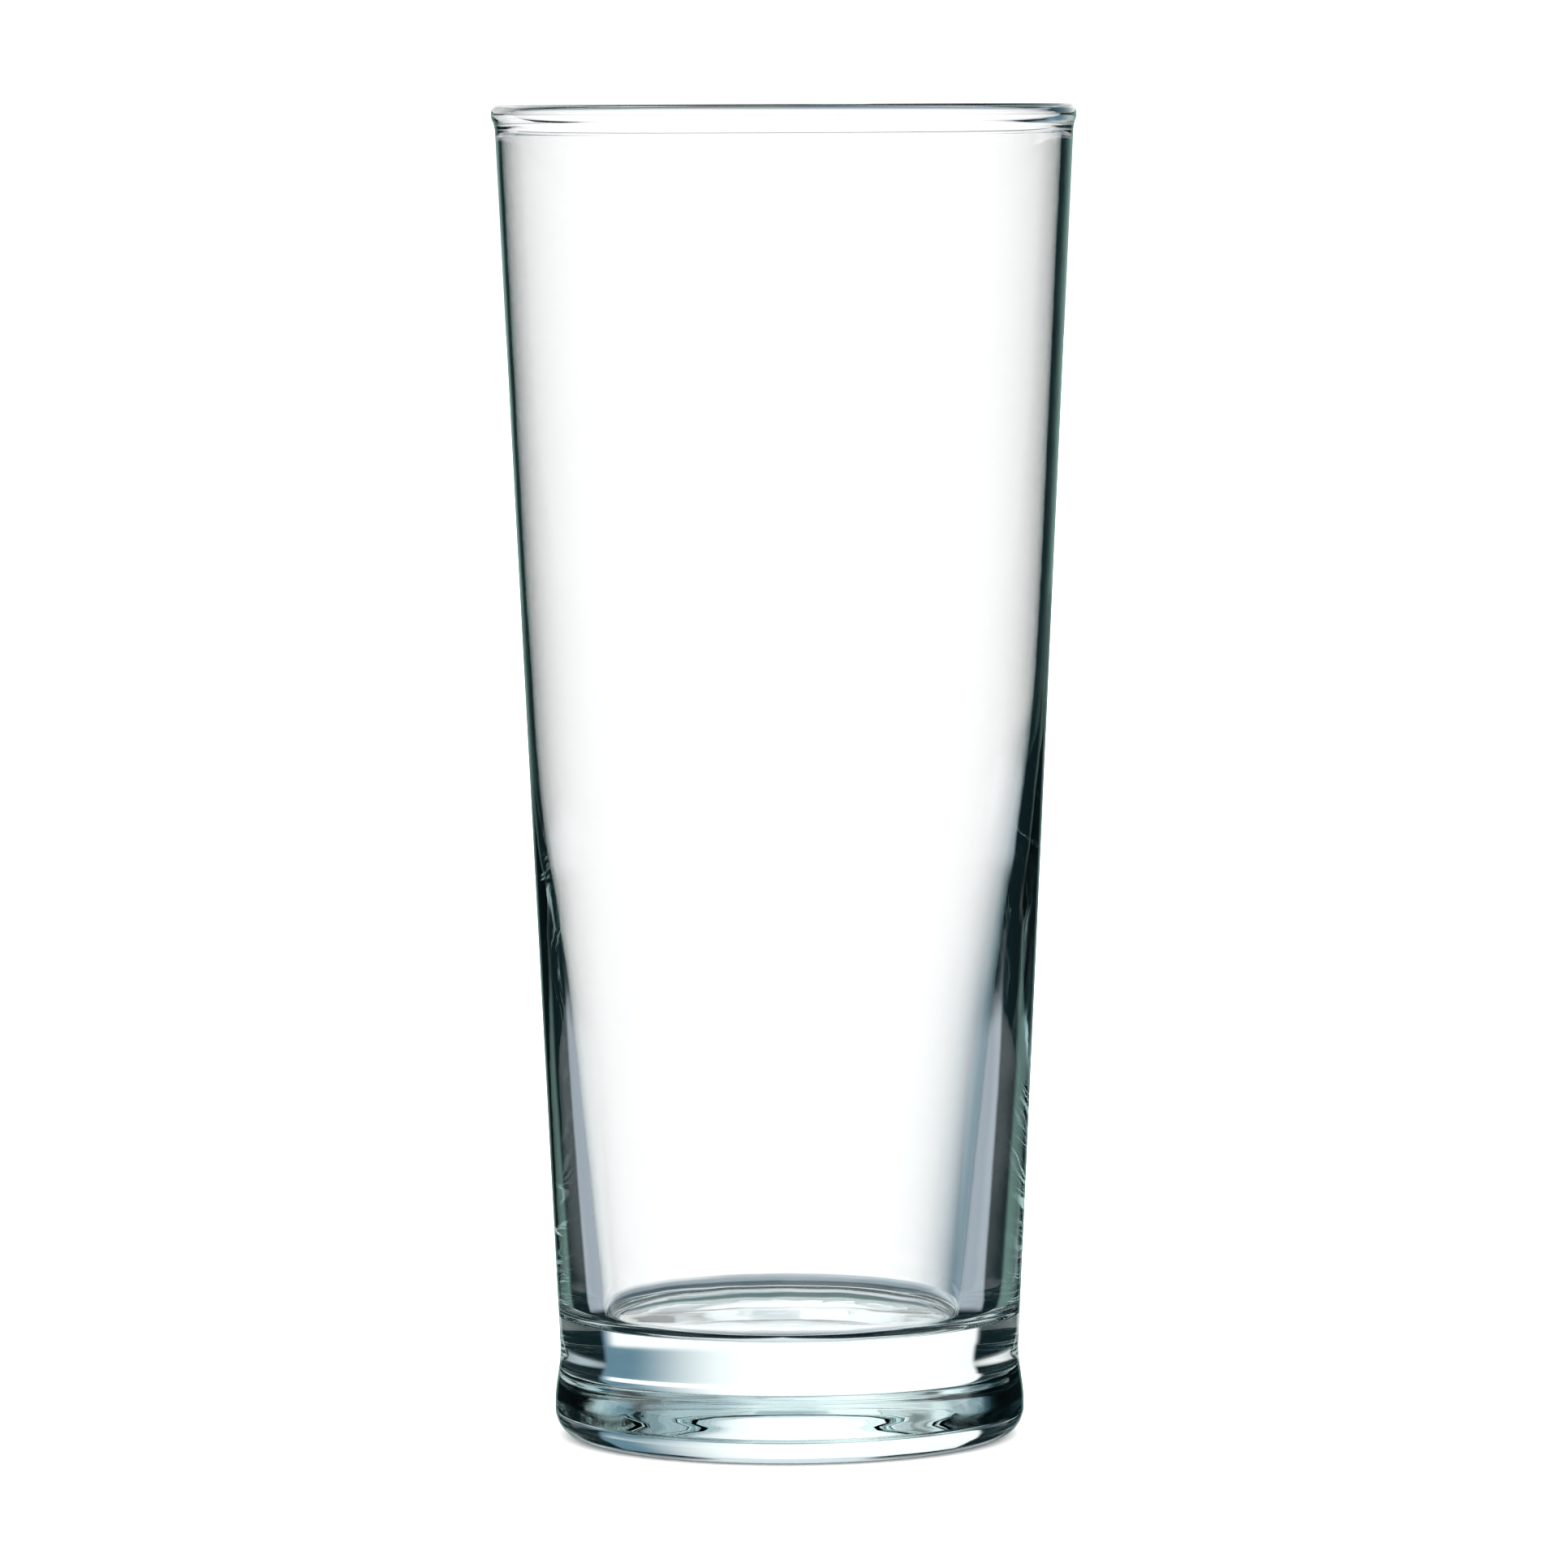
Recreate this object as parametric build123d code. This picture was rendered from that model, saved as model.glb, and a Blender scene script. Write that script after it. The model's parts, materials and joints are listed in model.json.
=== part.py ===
"""Pint glass: a tall, straight-sided, slightly tapered beer glass.

One piece of soda-lime glass, turned round the Z axis: a thick solid base on a
low rounded foot, a wall that thins as it rises, and a fire-polished bead round
the rim. Millimetres, +Z up, origin at the middle of the face that the glass
stands on.
"""
import os

from build123d import *

# Overall
HEIGHT = 181.0            # from the table to the top of the rim
BODY_RADIUS_AT_0 = 30.65  # radius that the straight side would have at the table
BODY_TAPER = 0.0474       # growth of the outer radius per millimetre of height

# Foot and underside
FOOT_RADIUS = 31.95       # widest point of the foot
HEEL_RADIUS = 3.8         # rounding between the foot's side and its underside
FOOT_LAND = 0.8           # upright stretch above the heel
WAIST_HEIGHT = 12.5       # where the foot has drawn in to the straight side
BEARING_INNER = 24.0      # inner radius of the flat ring that touches the table
PUSH_UP = 0.8             # how far the middle of the underside is raised

# Cavity
FLOOR_HEIGHT = 16.0       # thickness of the solid base
FLOOR_CORNER = 2.6        # rounding between the cavity's floor and its wall
WALL_UPPER = 1.15         # even wall of the upper part
THIN_HEIGHT = 118.0       # below this height the wall thickens
# (height, wall thickness) on the way down to the base
WALL_STATIONS = [
    (104.0, 1.38), (92.0, 1.75), (80.0, 2.7), (70.0, 3.72), (57.0, 4.72), (43.0, 5.5), (24.0, 6.6),
]
WALL_AT_FLOOR = 6.95

# Rim bead, an oval section round the top edge
BEAD_WIDTH = 1.84
BEAD_HEIGHT = 2.8
BEAD_OUTER_RADIUS = 39.54
BEAD_BLEND = 0.9          # hollow between the bead and the wall below it


def body_radius(height):
    """Outer radius of the straight side at a height."""
    return BODY_RADIUS_AT_0 + BODY_TAPER * height


def cavity_point(height, wall):
    """Point on the inner wall, as (radius, height), for a wall thickness."""
    return (body_radius(height) - wall, height)


def outer_edges(top):
    """Edges of the section from the middle of the underside up the outside."""
    heel_start = (FOOT_RADIUS - HEEL_RADIUS, 0)
    heel_end = (FOOT_RADIUS, HEEL_RADIUS)
    land_end = (FOOT_RADIUS, HEEL_RADIUS + FOOT_LAND)
    waist = (body_radius(WAIST_HEIGHT), WAIST_HEIGHT)
    side_top = (body_radius(top), top)
    dish_middle = (0, PUSH_UP)
    dish_edge = (BEARING_INNER, 0)
    return [
        TangentArc(dish_middle, dish_edge, tangent=(1, 0)),
        Line(dish_edge, heel_start),
        TangentArc(heel_start, heel_end, tangent=(1, 0)),
        Line(heel_end, land_end),
        Spline(land_end, waist, tangents=[(0, 1), (BODY_TAPER, 1)]),
        Line(waist, side_top),
    ]


def inner_edges(top):
    """Edges from the rim down the inside of the cavity to its middle."""
    mouth = cavity_point(top, WALL_UPPER)
    thin_end = cavity_point(THIN_HEIGHT, WALL_UPPER)
    stations = [cavity_point(height, wall) for height, wall in WALL_STATIONS]
    foot_of_wall = cavity_point(FLOOR_HEIGHT, WALL_AT_FLOOR)
    floor_middle = (0, FLOOR_HEIGHT)
    last = Vector(*stations[-1])
    end_direction = Vector(*foot_of_wall) - last
    return [
        Line(mouth, thin_end),
        Spline(thin_end, *stations, tangents=[(-BODY_TAPER, -1), end_direction]),
        Line(stations[-1], foot_of_wall),
        Line(foot_of_wall, floor_middle),
    ]


def glass_section():
    """Half section of the glass in the XZ plane, drawn as (radius, height)."""
    bead_middle = HEIGHT - BEAD_HEIGHT / 2
    bead_centre = (BEAD_OUTER_RADIUS - BEAD_WIDTH / 2, bead_middle)
    outer = outer_edges(bead_middle)
    inner = inner_edges(bead_middle)
    across_top = Line(outer[-1] @ 1, inner[0] @ 0)
    axis = Line(inner[-1] @ 1, outer[0] @ 0)
    shell = make_face(outer + [across_top] + inner + [axis])

    floor_corner = shell.vertices().sort_by_distance(
        cavity_point(FLOOR_HEIGHT, WALL_AT_FLOOR))[0]
    shell = fillet(floor_corner, FLOOR_CORNER)

    bead = Pos(*bead_centre) * Ellipse(BEAD_WIDTH / 2, BEAD_HEIGHT / 2)
    section = shell + bead
    under_bead = section.vertices().filter_by(
        lambda v: v.X > BEAD_OUTER_RADIUS - BEAD_WIDTH
        and HEIGHT - 1.5 * BEAD_HEIGHT < v.Y < bead_middle)
    section = fillet(under_bead, BEAD_BLEND)
    return section


def glass_body():
    """The glass: its half section turned round the axis."""
    section = Plane.XZ * glass_section()
    return revolve(section, Axis.Z)


def main():
    os.makedirs("parts", exist_ok=True)
    body = glass_body()
    body.label = "glass_body"
    export_step(body, "parts/glass_body.step")
    print("volume cm3", round(body.volume / 1000, 2))
    print("box", body.bounding_box())


main()
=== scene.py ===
"""Looks of a clear pint glass: a thick round foot, a tapered wall and a beaded rim.

The glass is turned from one section by Geometry Nodes, given the small
unevenness of pressed and fire-polished glass, and stood on a plain pale table
between plain soft lights.
"""
import json
import math

import bpy
import mathutils
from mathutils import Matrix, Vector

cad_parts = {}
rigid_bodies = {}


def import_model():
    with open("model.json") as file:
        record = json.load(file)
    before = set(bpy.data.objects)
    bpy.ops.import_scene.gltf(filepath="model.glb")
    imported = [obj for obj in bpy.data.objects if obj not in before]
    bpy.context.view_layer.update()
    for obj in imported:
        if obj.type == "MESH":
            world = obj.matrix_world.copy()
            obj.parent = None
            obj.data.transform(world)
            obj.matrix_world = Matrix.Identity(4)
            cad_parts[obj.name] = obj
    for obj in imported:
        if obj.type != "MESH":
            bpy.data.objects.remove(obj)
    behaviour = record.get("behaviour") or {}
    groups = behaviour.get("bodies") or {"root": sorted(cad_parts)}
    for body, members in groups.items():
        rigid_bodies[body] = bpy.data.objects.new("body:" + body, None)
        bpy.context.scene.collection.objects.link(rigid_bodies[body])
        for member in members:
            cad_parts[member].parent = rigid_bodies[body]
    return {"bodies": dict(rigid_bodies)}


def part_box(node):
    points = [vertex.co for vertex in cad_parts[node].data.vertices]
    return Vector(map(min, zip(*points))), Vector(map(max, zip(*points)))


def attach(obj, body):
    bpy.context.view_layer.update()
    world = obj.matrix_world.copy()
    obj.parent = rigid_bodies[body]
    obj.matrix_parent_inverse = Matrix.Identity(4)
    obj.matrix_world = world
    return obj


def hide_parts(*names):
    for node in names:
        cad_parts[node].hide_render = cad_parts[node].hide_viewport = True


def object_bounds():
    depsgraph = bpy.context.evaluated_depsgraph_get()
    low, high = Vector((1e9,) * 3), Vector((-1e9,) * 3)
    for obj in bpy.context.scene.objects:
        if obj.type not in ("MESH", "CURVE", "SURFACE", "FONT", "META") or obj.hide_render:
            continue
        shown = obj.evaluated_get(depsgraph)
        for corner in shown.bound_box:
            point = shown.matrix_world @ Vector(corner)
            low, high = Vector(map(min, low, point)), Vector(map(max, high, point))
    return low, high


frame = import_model()
cad_low, cad_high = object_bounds()

MM = 0.001
BODY = next(iter(frame["bodies"]))
NODE = "glass_body"

# ---------------------------------------------------------------- the section
# Millimetres, as (radius, height) points about the Z axis
HEIGHT = (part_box(NODE)[1].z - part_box(NODE)[0].z) / MM
BODY_RADIUS_AT_0 = 30.65
BODY_TAPER = 0.0474
FOOT_RADIUS = 31.95
HEEL_RADIUS = 3.8
FOOT_LAND = 0.8
WAIST_HEIGHT = 12.5
BEARING_INNER = 24.0
PUSH_UP = 0.8
FLOOR_HEIGHT = 16.0
FLOOR_CORNER = 2.6
BEAD_RADIUS = 38.62     # from the axis to the middle of the bead's oval
BEAD_HALF_WIDTH = 0.92
BEAD_HALF_HEIGHT = 1.4
BEAD_UNDERCUT = 52.0    # degrees below level at which the bead meets the wall
CAVITY_TOP = 178.2      # where the even wall starts under the bead
CORNER_TOP = 18.4       # where the wall turns into the floor's rounding
# (height, wall thickness) from the rim down to the base
WALL = [
    (178.2, 1.12), (118.0, 1.15), (104.0, 1.32), (92.0, 1.6), (80.0, 2.3), (70.0, 3.3),
    (57.0, 4.5), (43.0, 5.4), (24.0, 6.5), (18.4, 6.8),
]

# ------------------------------------------------------- unevenness of the glass
TURNS = 256             # columns of faces round the glass
CORE_SHIFT = -0.62      # how far the lower cavity stands off the axis of the outside
UPPER_SHIFT_SHARE = 0.5 # of that, in the thin upper wall
SHIFT_LEVELS = (76.0, 104.0)
RIPPLE = 0.018          # height of the fire-polished ripple on the outside
RIPPLE_SPACING = 11.0
WAVE_DEPTH = 0.006      # of the fine waves all over the surface
WAVES_PER_METRE = 140.0
GRAIN_PER_METRE = 900.0
REFRACTION = 1.52
TINT = (0.74, 0.91, 0.9, 1.0)
TINT_DENSITY = 8.0
SCUFF = 0.14            # roughness of the ring that rubs on tables
FLOOR_RIPPLE = 0.06     # height of the chill marks round the cavity's floor
FLOOR_RIPPLE_SPACING = 5.0


def body_radius(height):
    """Outer radius of the straight side at a height."""
    return BODY_RADIUS_AT_0 + BODY_TAPER * height


def wall_thickness(height):
    """Wall thickness at a height, by a smooth curve through the WALL stations."""
    stations = WALL[::-1]
    index = 0
    while index < len(stations) - 2 and height > stations[index + 1][0]:
        index += 1
    (low, start), (high, end) = stations[index], stations[index + 1]
    span = high - low
    slopes = []
    for middle in (index, index + 1):
        before = stations[max(middle - 1, 0)]
        after = stations[min(middle + 1, len(stations) - 1)]
        slopes.append((after[1] - before[1]) / (after[0] - before[0]))
    if index == len(stations) - 2:
        slopes = [0.0, 0.0]
    share = min(max((height - low) / span, 0.0), 1.0)
    rest = 1.0 - share
    return (
        start * rest * rest * (1 + 2 * share)
        + slopes[0] * span * share * rest * rest
        + end * share * share * (3 - 2 * share)
        - slopes[1] * span * share * share * rest
    )


def shift_share(height):
    """How much of the cavity's full shift there is at a height."""
    share = min(max((SHIFT_LEVELS[1] - height) / (SHIFT_LEVELS[1] - SHIFT_LEVELS[0]), 0.0), 1.0)
    return UPPER_SHIFT_SHARE + (1.0 - UPPER_SHIFT_SHARE) * share * share * (3 - 2 * share)


def spaced(start, end, count):
    """count heights or angles from start to end, both included."""
    return [start + (end - start) * step / (count - 1) for step in range(count)]


def arc(middle, radii, start, end, count):
    """Points on an arc of an oval, from one angle to another in degrees."""
    turns = [math.radians(angle) for angle in spaced(start, end, count)]
    return [
        (middle[0] + radii[0] * math.cos(turn), middle[1] + radii[1] * math.sin(turn))
        for turn in turns
    ]


def eased(start, end, start_lean, end_lean, count):
    """Points on a smooth curve between two points with the given directions."""
    points = []
    for share in spaced(0.0, 1.0, count):
        rest = 1.0 - share
        points.append(tuple(
            start[axis] * rest * rest * (1 + 2 * share)
            + start_lean[axis] * share * rest * rest
            + end[axis] * share * share * (3 - 2 * share)
            - end_lean[axis] * share * share * rest
            for axis in (0, 1)
        ))
    return points


def outside_points():
    """The section from the middle of the underside up to the bead."""
    dish_radius = (BEARING_INNER ** 2 + PUSH_UP ** 2) / (2 * PUSH_UP)
    dish = [
        (radius, PUSH_UP - dish_radius + math.sqrt(dish_radius ** 2 - radius ** 2))
        for radius in spaced(0.0, BEARING_INNER, 14)
    ]
    heel = arc((FOOT_RADIUS - HEEL_RADIUS, HEEL_RADIUS), (HEEL_RADIUS, HEEL_RADIUS), -90, 0, 16)
    land = (FOOT_RADIUS, HEEL_RADIUS + FOOT_LAND)
    waist = (body_radius(WAIST_HEIGHT), WAIST_HEIGHT)
    rise = WAIST_HEIGHT - land[1]
    foot = eased(land, waist, (0.0, rise), (BODY_TAPER * rise, rise), 18)
    side = [(body_radius(height), height) for height in spaced(WAIST_HEIGHT, CAVITY_TOP - 0.6, 110)]
    return dish + heel + foot + side[1:]


def bead_points():
    """The oval bead round the rim, from its outer undercut over the top."""
    middle = (BEAD_RADIUS, HEIGHT - BEAD_HALF_HEIGHT)
    radii = (BEAD_HALF_WIDTH, BEAD_HALF_HEIGHT)
    return arc(middle, radii, -BEAD_UNDERCUT + 6, 180 + BEAD_UNDERCUT - 20, 34)


def cavity_points():
    """The section from under the bead down the inside to the cavity's middle."""
    side = [
        (body_radius(height) - wall_thickness(height), height)
        for height in spaced(CAVITY_TOP, CORNER_TOP, 118)
    ]
    middle = (side[-1][0] - FLOOR_CORNER, FLOOR_HEIGHT + FLOOR_CORNER)
    corner = arc(middle, (FLOOR_CORNER, FLOOR_CORNER), -5, -90, 16)
    floor = [(radius, FLOOR_HEIGHT) for radius in spaced(middle[0], 0.0, 14)]
    return side + corner[1:] + floor[1:]


def section_object():
    """The section as a line of points in the XZ plane, marked where it is cavity."""
    outside = outside_points()
    bead = bead_points()
    cavity = cavity_points()
    points = outside + bead + cavity
    mesh = bpy.data.meshes.new("glass_section")
    edges = [(index, index + 1) for index in range(len(points) - 1)]
    mesh.from_pydata([(radius * MM, 0.0, height * MM) for radius, height in points], edges, [])
    share = mesh.attributes.new("cavity", "FLOAT", "POINT")
    bead_share = [UPPER_SHIFT_SHARE * step / len(bead) for step in range(len(bead))]
    cavity_share = [shift_share(height) for radius, height in cavity]
    values = [0.0] * len(outside) + bead_share + cavity_share
    share.data.foreach_set("value", values)
    section = bpy.data.objects.new("glass_section", mesh)
    bpy.context.scene.collection.objects.link(section)
    return section


# ------------------------------------------------------------ node tree helpers
def add_node(tree, kind, values=None, **settings):
    """A node of a kind, with its settings and the values or links of its inputs."""
    node = tree.nodes.new(kind)
    for name, value in settings.items():
        setattr(node, name, value)
    for key, value in (values or {}).items():
        if isinstance(value, bpy.types.NodeSocket):
            tree.links.new(value, node.inputs[key])
        else:
            node.inputs[key].default_value = value
    return node


def math_of(tree, operation, *values):
    """The output of a Math node in a shader or geometry tree."""
    return add_node(tree, "ShaderNodeMath", dict(enumerate(values)), operation=operation).outputs[0]


def vector_math_of(tree, operation, *values):
    """The output of a Vector Math node."""
    node = add_node(tree, "ShaderNodeVectorMath", dict(enumerate(values)), operation=operation)
    return node.outputs["Value"] if operation in ("DOT_PRODUCT", "LENGTH") else node.outputs[0]


# ------------------------------------------------------------- turning the glass
def turning_tree(material):
    """Geometry Nodes that turn the section round Z and roughen it as glass is."""
    tree = bpy.data.node_groups.new("turned_glass", "GeometryNodeTree")
    interface = tree.interface
    interface.new_socket("Section", in_out="INPUT", socket_type="NodeSocketGeometry")
    sockets = [
        ("Turns", "NodeSocketInt"), ("Core Shift", "NodeSocketFloat"),
        ("Ripple", "NodeSocketFloat"), ("Ripple Spacing", "NodeSocketFloat"),
        ("Floor Ripple", "NodeSocketFloat"), ("Floor Ripple Spacing", "NodeSocketFloat"),
        ("Floor Height", "NodeSocketFloat"), ("Seed", "NodeSocketFloat"),
    ]
    for name, kind in sockets:
        interface.new_socket(name, in_out="INPUT", socket_type=kind)
    interface.new_socket("Glass", in_out="OUTPUT", socket_type="NodeSocketGeometry")
    given = tree.nodes.new("NodeGroupInput").outputs
    result = tree.nodes.new("NodeGroupOutput")

    # A grid with one row for each point of the section and one column for each turn
    size = add_node(tree, "GeometryNodeAttributeDomainSize", {"Geometry": given["Section"]})
    rows = size.outputs["Point Count"]
    columns = math_of(tree, "ADD", given["Turns"], 1.0)
    grid = add_node(tree, "GeometryNodeMeshGrid", {"Vertices X": columns, "Vertices Y": rows})
    index = tree.nodes.new("GeometryNodeInputIndex").outputs[0]
    row = math_of(tree, "FLOORED_MODULO", index, rows)
    column = math_of(tree, "FLOOR", math_of(tree, "DIVIDE", index, rows))
    angle = math_of(tree, "MULTIPLY", math_of(tree, "DIVIDE", column, given["Turns"]), math.tau)

    def of_section(kind, value):
        sample = add_node(tree, "GeometryNodeSampleIndex", data_type=kind, domain="POINT")
        tree.links.new(given["Section"], sample.inputs["Geometry"])
        tree.links.new(value, sample.inputs["Value"])
        tree.links.new(row, sample.inputs["Index"])
        return sample.outputs[0]

    where = tree.nodes.new("GeometryNodeInputPosition").outputs[0]
    point = add_node(tree, "ShaderNodeSeparateXYZ", {0: of_section("FLOAT_VECTOR", where)}).outputs
    named = add_node(tree, "GeometryNodeInputNamedAttribute", {"Name": "cavity"}, data_type="FLOAT")
    cavity = of_section("FLOAT", named.outputs[0])
    radius, height = point["X"], point["Z"]
    turned = add_node(tree, "ShaderNodeCombineXYZ", {
        "X": math_of(tree, "MULTIPLY", radius, math_of(tree, "COSINE", angle)),
        "Y": math_of(tree, "MULTIPLY", radius, math_of(tree, "SINE", angle)),
        "Z": height,
    }).outputs[0]

    def waves(spacing, flatten):
        """Noise that is shorter up the glass than round it, about zero."""
        squeezed = vector_math_of(tree, "MULTIPLY", turned, (flatten, flatten, 1.0))
        scale = math_of(tree, "DIVIDE", 1.0, spacing)
        noise = add_node(tree, "ShaderNodeTexNoise", {
            "Vector": squeezed, "W": given["Seed"], "Scale": scale, "Detail": 1.0, "Roughness": 0.4,
        }, noise_dimensions="4D")
        return math_of(tree, "SUBTRACT", noise.outputs[0], 0.5)

    # The outside ripples in and out; the cavity's floor and corner rise and fall
    out_share = math_of(tree, "SUBTRACT", 1.0, cavity)
    side = add_node(tree, "ShaderNodeMapRange", {
        "Value": height, "From Min": 0.010, "From Max": 0.020,
    }, interpolation_type="SMOOTHSTEP").outputs[0]
    push = math_of(tree, "MULTIPLY", waves(given["Ripple Spacing"], 0.35), given["Ripple"])
    push = math_of(tree, "MULTIPLY", push, math_of(tree, "MULTIPLY", out_share, side))
    above_floor = math_of(tree, "SUBTRACT", height, given["Floor Height"])
    near_floor = add_node(tree, "ShaderNodeMapRange", {
        "Value": above_floor, "From Min": 0.009, "From Max": 0.0,
    }, interpolation_type="SMOOTHSTEP").outputs[0]
    lift = math_of(tree, "MULTIPLY", waves(given["Floor Ripple Spacing"], 1.0), given["Floor Ripple"])
    lift = math_of(tree, "MULTIPLY", lift, math_of(tree, "MULTIPLY", cavity, near_floor))
    outward = vector_math_of(tree, "NORMALIZE", vector_math_of(tree, "MULTIPLY", turned, (1.0, 1.0, 0.0)))
    bulge = add_node(tree, "ShaderNodeVectorMath", {0: outward, "Scale": math_of(tree, "ADD", push, lift)},
                     operation="SCALE").outputs[0]
    shift = add_node(tree, "ShaderNodeCombineXYZ", {
        "X": math_of(tree, "MULTIPLY", cavity, given["Core Shift"]), "Z": lift,
    }).outputs[0]
    place = vector_math_of(tree, "ADD", turned, vector_math_of(tree, "ADD", bulge, shift))

    placed = add_node(tree, "GeometryNodeSetPosition", {"Geometry": grid.outputs["Mesh"], "Position": place})
    merged = add_node(tree, "GeometryNodeMergeByDistance", {
        "Geometry": placed.outputs[0], "Distance": 1e-6,
    })
    smooth = add_node(tree, "GeometryNodeSetShadeSmooth", {"Geometry": merged.outputs[0]})
    whole = add_node(tree, "GeometryNodeRealizeInstances", {"Geometry": smooth.outputs[0]})
    finished = add_node(tree, "GeometryNodeSetMaterial", {"Geometry": whole.outputs[0], "Material": material})
    tree.links.new(finished.outputs[0], result.inputs["Glass"])
    return tree


def turned_glass(material):
    """The whole glass as one plain mesh, turned from its section."""
    section = section_object()
    tree = turning_tree(material)
    modifier = section.modifiers.new("turning", "NODES")
    modifier.node_group = tree
    identifiers = {item.name: item.identifier for item in tree.interface.items_tree}
    values = {
        "Turns": TURNS, "Core Shift": CORE_SHIFT * MM, "Ripple": RIPPLE * MM * 2,
        "Ripple Spacing": RIPPLE_SPACING * MM, "Floor Ripple": FLOOR_RIPPLE * MM * 2,
        "Floor Ripple Spacing": FLOOR_RIPPLE_SPACING * MM, "Floor Height": FLOOR_HEIGHT * MM,
        "Seed": 4.0,
    }
    for name, value in values.items():
        modifier[identifiers[name]] = value
    bpy.context.view_layer.update()
    evaluated = section.evaluated_get(bpy.context.evaluated_depsgraph_get())
    mesh = bpy.data.meshes.new_from_object(evaluated)
    mesh.name = "pint_glass"
    section.modifiers.remove(modifier)
    bpy.data.objects.remove(section)
    glass = bpy.data.objects.new("pint_glass", mesh)
    bpy.context.scene.collection.objects.link(glass)
    return glass


# -------------------------------------------------------------------- materials
def clear_glass():
    """Clear soda-lime glass, faintly green in its depth, wavy and scuffed under the foot."""
    material = bpy.data.materials.new("clear_glass")
    material.use_nodes = True
    tree = material.node_tree
    shader = tree.nodes["Principled BSDF"]
    shader.inputs["Base Color"].default_value = (1.0, 1.0, 1.0, 1.0)
    shader.inputs["IOR"].default_value = REFRACTION
    shader.inputs["Transmission Weight"].default_value = 1.0
    where = tree.nodes.new("ShaderNodeTexCoord").outputs["Object"]
    height = add_node(tree, "ShaderNodeSeparateXYZ", {0: where}).outputs["Z"]
    waves = add_node(tree, "ShaderNodeTexNoise", {"Vector": where, "Scale": WAVES_PER_METRE, "Detail": 2.0})
    bump = add_node(tree, "ShaderNodeBump", {
        "Height": waves.outputs[0], "Strength": 1.0, "Distance": WAVE_DEPTH * MM,
    })
    tree.links.new(bump.outputs[0], shader.inputs["Normal"])
    grain = add_node(tree, "ShaderNodeTexNoise", {"Vector": where, "Scale": GRAIN_PER_METRE, "Detail": 3.0})
    foot = add_node(tree, "ShaderNodeMapRange", {
        "Value": height, "From Min": 0.2 * MM, "From Max": 0.02 * MM, "To Max": SCUFF,
    }).outputs[0]
    scuffs = math_of(tree, "MULTIPLY", foot, grain.outputs[0])
    tree.links.new(scuffs, shader.inputs["Roughness"])
    tint = add_node(tree, "ShaderNodeVolumeAbsorption", {"Color": TINT, "Density": TINT_DENSITY})
    tree.links.new(tint.outputs[0], tree.nodes["Material Output"].inputs["Volume"])
    return material


def table_top():
    """A plain matt white table."""
    material = bpy.data.materials.new("table_top")
    material.use_nodes = True
    shader = material.node_tree.nodes["Principled BSDF"]
    shader.inputs["Base Color"].default_value = (0.92, 0.92, 0.92, 1.0)
    shader.inputs["Roughness"].default_value = 0.9
    shader.inputs["Specular IOR Level"].default_value = 0.0
    return material


# ------------------------------------------------------------------ the studio
def softbox_group():
    """A soft-edged patch of light by direction, as a mask from 0 to 1."""
    tree = bpy.data.node_groups.new("softbox", "ShaderNodeTree")
    names = ["Azimuth", "Elevation", "Left", "Right", "Bottom", "Top", "Side Edge", "Height Edge"]
    for name in names:
        tree.interface.new_socket(name, in_out="INPUT", socket_type="NodeSocketFloat")
    tree.interface.new_socket("Mask", in_out="OUTPUT", socket_type="NodeSocketFloat")
    given = tree.nodes.new("NodeGroupInput").outputs
    result = tree.nodes.new("NodeGroupOutput")

    def step(value, edge, softness):
        low = math_of(tree, "SUBTRACT", edge, softness)
        high = math_of(tree, "ADD", edge, softness)
        return add_node(tree, "ShaderNodeMapRange", {
            "Value": value, "From Min": low, "From Max": high,
        }, interpolation_type="SMOOTHSTEP").outputs[0]

    left = step(given["Azimuth"], given["Left"], given["Side Edge"])
    right = step(given["Azimuth"], given["Right"], given["Side Edge"])
    bottom = step(given["Elevation"], given["Bottom"], given["Height Edge"])
    top = step(given["Elevation"], given["Top"], given["Height Edge"])
    across = math_of(tree, "SUBTRACT", left, right)
    upright = math_of(tree, "SUBTRACT", bottom, top)
    tree.links.new(math_of(tree, "MULTIPLY", across, upright), result.inputs[0])
    return tree


WHITE = (1.25, 1.25, 1.25)
BRIGHT = (2.6, 2.6, 2.6)        # what lights the table top, so that it stays white
LILAC = (0.6, 0.7, 0.76)
PALE = (0.42, 0.48, 0.54)
SKY = (0.4, 0.52, 0.6)
HAZE = (0.16, 0.28, 0.36)
NEAR_TABLE = (0.75, 0.8, 0.83)
RIGHT_TABLE = (0.66, 0.76, 0.81)
TABLE_SHADE = (0.36, 0.43, 0.48)
DEEP_SHADE = (0.1, 0.14, 0.16)
INNER_TABLE = (0.8, 0.86, 0.9)
GREEN = (0.2, 0.33, 0.3)
SHADE = (0.006, 0.016, 0.019)
PANEL = "panel"         # the big panel's own colour, which cools towards its right
COOLING = (6.0, 34.0)   # azimuths between which it goes from WHITE to HAZE

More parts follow.
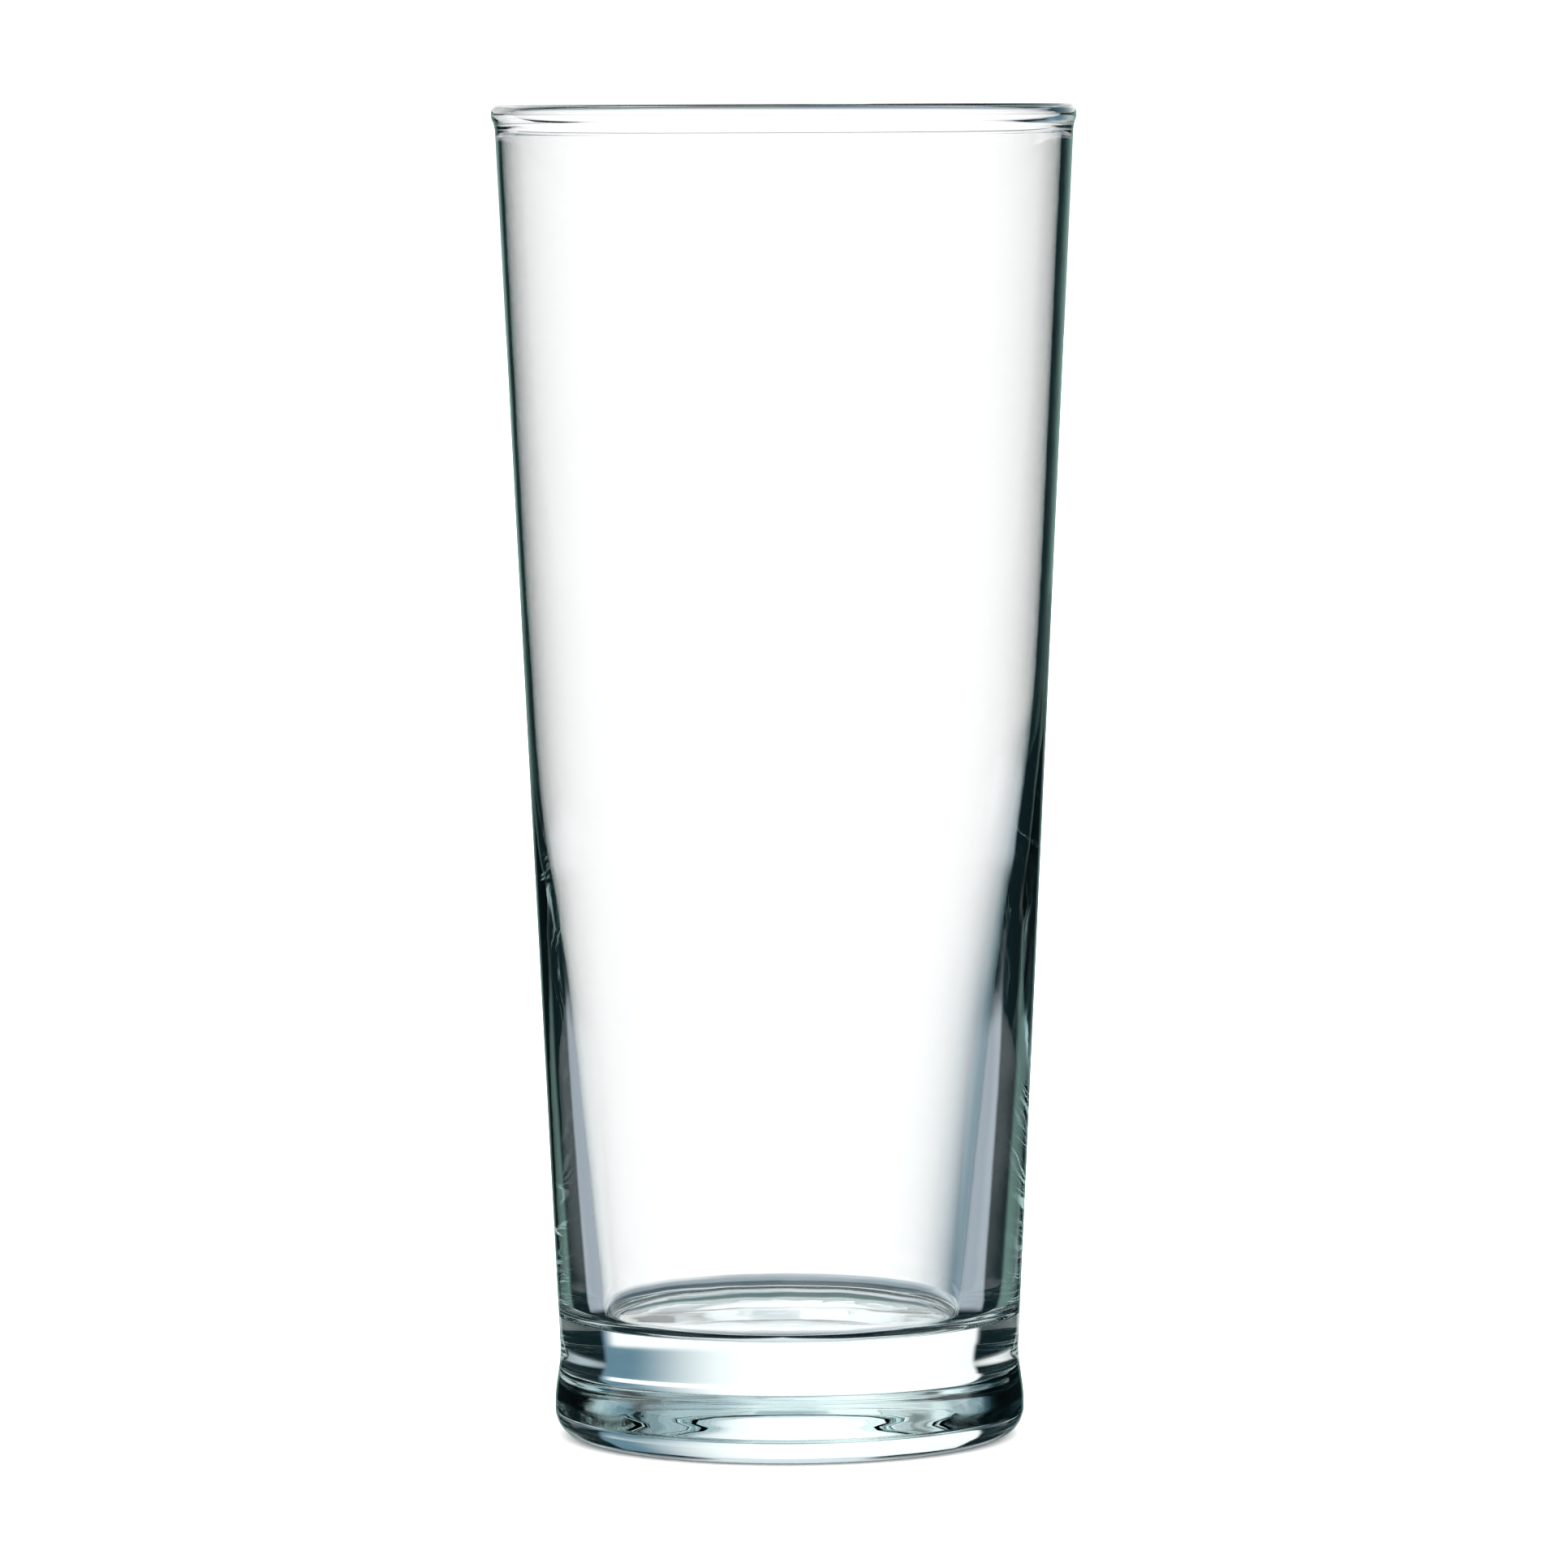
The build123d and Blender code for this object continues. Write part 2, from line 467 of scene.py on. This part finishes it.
# Patches of light that the glass sees, each over the one before, in degrees:
# azimuth from and to (0 behind the glass, growing to its right), elevation from
# and to, softness of the sides, softness of the top and bottom, colour
PATCHES = [
    (-180, 185, 52, 110, 8, 6, WHITE),                 # ceiling
    (70, 185, 52, 110, 25, 6, SKY),
    (-150, -108, 33, 54, 8, 4, WHITE),                 # high lights in front
    (-185, -150, 33, 54, 8, 4, LILAC),
    (150, 185, 33, 54, 8, 4, HAZE),
    (-185, 185, -100, -42, 8, 5, NEAR_TABLE),          # table close to the foot
    (0, 100, -45, -18, 4, 2, RIGHT_TABLE),            # table behind, to the right
    (-100, 0, -45, -18, 4, 2, (0.95, 1.0, 1.0)),       # and to the left
    (-18, 14, -45, -24, 5, 4, TABLE_SHADE),
    (-12, 9, -56, -33, 4, 3, DEEP_SHADE),
    (95, 185, -45, 8, 5, 3, WHITE),                    # light room in front
    (-185, -95, -45, 8, 5, 3, WHITE),
    (80, 102, -20, 8, 3, 2, WHITE),                    # panels at the sides
    (-102, -80, -20, 8, 3, 2, WHITE),
    (36, 74, -18.5, -13.2, 2, 1.2, LILAC),
    (-74, -36, -18.5, -13.2, 2, 1.2, WHITE),
    (-43, 43, -19, 45, 1.5, 1.2, PANEL),               # the big panel behind
    (-43, 40, -8, 2, 3, 1, WHITE),
]
# The same for rays that have been mirrored inside the glass and leave level or downwards.
# No real studio can part them so: this stands in for black flags close to the glass.
MIRRORED_TOP = 2.0      # elevation above which they see PATCHES again
INNER_PATCHES = [
    (-18, 18, -100, -20, 4, 2, INNER_TABLE),
    (-15, 15, -18, 3, 4, 1.5, GREEN),
    (38, 66, -19, -13, 2, 1.5, PALE),
    (-66, -38, -19, -13, 2, 1.5, PALE),
]


def colour_mix(tree, factor, under, over):
    """The output of a colour mix, for colours given as sockets or numbers."""
    mix = add_node(tree, "ShaderNodeMix", {"Factor": factor}, data_type="RGBA")
    for socket, colour in ((mix.inputs[6], under), (mix.inputs[7], over)):
        if isinstance(colour, bpy.types.NodeSocket):
            tree.links.new(colour, socket)
        else:
            socket.default_value = (*colour, 1.0)
    return mix.outputs[2]


def lit(tree, patches, azimuth, elevation, panel, group):
    """The colour that a list of patches gives in a direction."""
    names = ("Left", "Right", "Bottom", "Top", "Side Edge", "Height Edge")
    colour = SHADE
    for patch in patches:
        box = add_node(tree, "ShaderNodeGroup", node_tree=group)
        tree.links.new(azimuth, box.inputs["Azimuth"])
        tree.links.new(elevation, box.inputs["Elevation"])
        for name, value in zip(names, patch):
            box.inputs[name].default_value = value
        tone = panel if patch[-1] == PANEL else patch[-1]
        colour = colour_mix(tree, box.outputs[0], colour, tone)
    return colour


def studio_world():
    """White to the camera; to the glass, soft panels and black flags in a dim room."""
    world = bpy.data.worlds.new("studio")
    bpy.context.scene.world = world
    world.use_nodes = True
    tree = world.node_tree
    tree.nodes.clear()
    direction = tree.nodes.new("ShaderNodeTexCoord").outputs["Generated"]
    axes = add_node(tree, "ShaderNodeSeparateXYZ", {0: direction}).outputs
    azimuth = math_of(tree, "DEGREES", math_of(tree, "ARCTAN2", axes["X"], axes["Y"]))
    elevation = math_of(tree, "DEGREES", math_of(tree, "ARCSINE", axes["Z"]))
    cooling = add_node(tree, "ShaderNodeMapRange", {
        "Value": azimuth, "From Min": COOLING[0], "From Max": COOLING[1],
    }, interpolation_type="SMOOTHSTEP").outputs[0]
    panel = colour_mix(tree, cooling, WHITE, HAZE)
    group = softbox_group()
    room = lit(tree, PATCHES, azimuth, elevation, panel, group)
    along_wall = lit(tree, INNER_PATCHES, azimuth, elevation, panel, group)
    path = tree.nodes.new("ShaderNodeLightPath").outputs
    turned_back = math_of(tree, "GREATER_THAN", path["Glossy Depth"], 0.5)
    downward = math_of(tree, "LESS_THAN", elevation, MIRRORED_TOP)
    inner = math_of(tree, "MULTIPLY", turned_back, downward)
    seen = colour_mix(tree, inner, room, along_wall)
    seen = colour_mix(tree, path["Is Camera Ray"], seen, WHITE)
    seen = colour_mix(tree, path["Is Diffuse Ray"], seen, BRIGHT)
    background = add_node(tree, "ShaderNodeBackground", {"Color": seen})
    output = tree.nodes.new("ShaderNodeOutputWorld")
    tree.links.new(background.outputs[0], output.inputs["Surface"])


BOUNCES = 24
TABLE_REACH = 6.0
TABLE_CORNERS = 64
EYE_OFFSET = -0.4 * MM
EYE_DISTANCE = 1.25
LENS = 211.83
DOWNWARD_TIP = 4.216    # degrees below level
ROLL = -0.25            # degrees round the line of sight


def table():
    """A wide round table top that the glass stands on."""
    mesh = bpy.data.meshes.new("table")
    turns = [math.tau * step / TABLE_CORNERS for step in range(TABLE_CORNERS)]
    corners = [(TABLE_REACH * math.cos(turn), TABLE_REACH * math.sin(turn), cad_low.z) for turn in turns]
    mesh.from_pydata(corners, [], [list(range(TABLE_CORNERS))])
    mesh.materials.append(table_top())
    top = bpy.data.objects.new("table", mesh)
    bpy.context.scene.collection.objects.link(top)
    top.visible_transmission = False
    top.visible_glossy = False


def camera():
    """A long lens, level with the rim and tipped down to the middle of the glass."""
    data = bpy.data.cameras.new("camera")
    data.sensor_width = 36.0
    data.lens = LENS
    data.clip_end = 100.0
    eye = bpy.data.objects.new("camera", data)
    eye.location = (EYE_OFFSET, -EYE_DISTANCE, HEIGHT * MM)
    tip = mathutils.Matrix.Rotation(math.radians(90 - DOWNWARD_TIP), 4, "X")
    roll = mathutils.Matrix.Rotation(math.radians(ROLL), 4, "Z")
    eye.rotation_euler = (tip @ roll).to_euler()
    bpy.context.scene.collection.objects.link(eye)
    bpy.context.scene.camera = eye


glass = turned_glass(clear_glass())
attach(glass, BODY)
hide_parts(NODE)
table()
studio_world()
camera()
bpy.context.scene.view_settings.view_transform = "Standard"
# Light runs a long way inside thick glass, by one inner reflection after another
bpy.context.scene.cycles.max_bounces = BOUNCES
bpy.context.scene.cycles.transmission_bounces = BOUNCES
bpy.context.scene.cycles.glossy_bounces = BOUNCES
